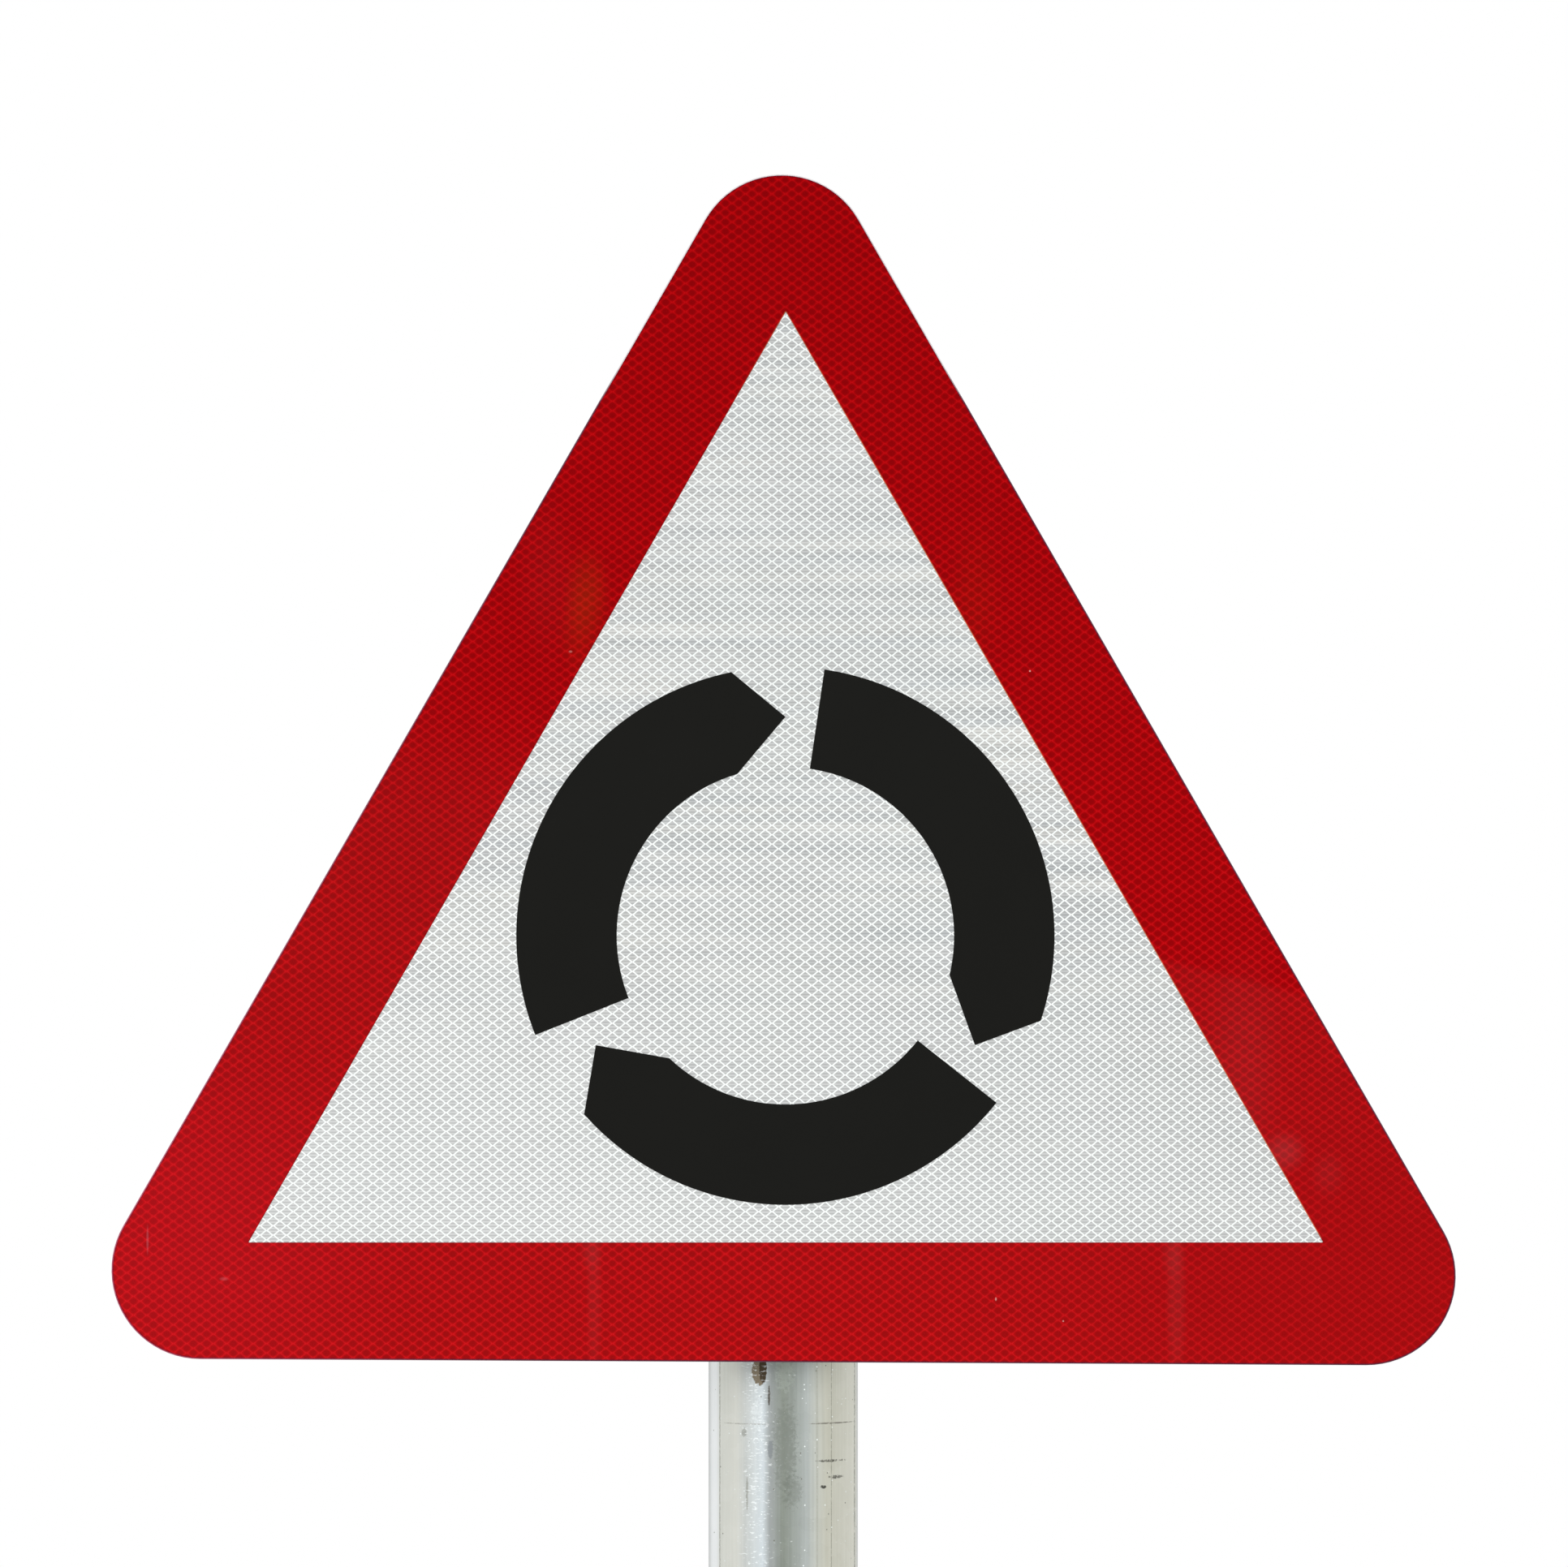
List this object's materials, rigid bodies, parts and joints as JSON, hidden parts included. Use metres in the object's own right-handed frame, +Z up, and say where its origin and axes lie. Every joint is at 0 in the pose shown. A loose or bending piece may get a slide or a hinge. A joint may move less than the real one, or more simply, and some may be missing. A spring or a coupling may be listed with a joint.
{
  "type": "roundabout warning sign",
  "caption": "Triangular roundabout warning sign with a red border and black clockwise arrows, hung on a round galvanised post by sign channels, bent clips and bolts.",
  "frame": {"origin": "on the post's axis, in the plane of the post's foot, which is the ground line", "axes": "+Z up along the post, +X to the right as the sign is read, +Y away from the reader; the printed face looks along -Y"},
  "size_m": [0.6788, 0.1001, 1.4999],
  "materials": {
    "sheeting_white": "white prismatic reflective sheeting with a diamond lattice",
    "film_red": "translucent red film over the sheeting's lattice",
    "film_black": "opaque black cut film",
    "plate_aluminium": "mill finish sheet, dulled outdoors",
    "channel_aluminium": "extruded, with fine lines along its length",
    "galvanised_steel": "hot-dip galvanised, mottled and weathered",
    "zinc_fasteners": "bright zinc plated",
    "cap_plastic": "moulded black plastic",
    "foam_tape": "closed-cell foam tape"
  },
  "bodies": {
    "root": {"sign_plate": "plate_aluminium", "white_sheeting": "sheeting_white", "red_border": "film_red", "left_arrow": "film_black", "lower_arrow": "film_black", "right_arrow": "film_black", "post_tube": "galvanised_steel", "post_cap": "cap_plastic", "upper_channel": "channel_aluminium", "upper_bonding_tape": "foam_tape", "upper_clip": "galvanised_steel", "upper_left_bolt": "zinc_fasteners", "upper_left_washer": "zinc_fasteners", "upper_left_nut": "zinc_fasteners", "upper_right_bolt": "zinc_fasteners", "upper_right_washer": "zinc_fasteners", "upper_right_nut": "zinc_fasteners", "lower_channel": "channel_aluminium", "lower_bonding_tape": "foam_tape", "lower_clip": "galvanised_steel", "lower_left_bolt": "zinc_fasteners", "lower_left_washer": "zinc_fasteners", "lower_left_nut": "zinc_fasteners", "lower_right_bolt": "zinc_fasteners", "lower_right_washer": "zinc_fasteners", "lower_right_nut": "zinc_fasteners"}
  },
  "joints": []
}
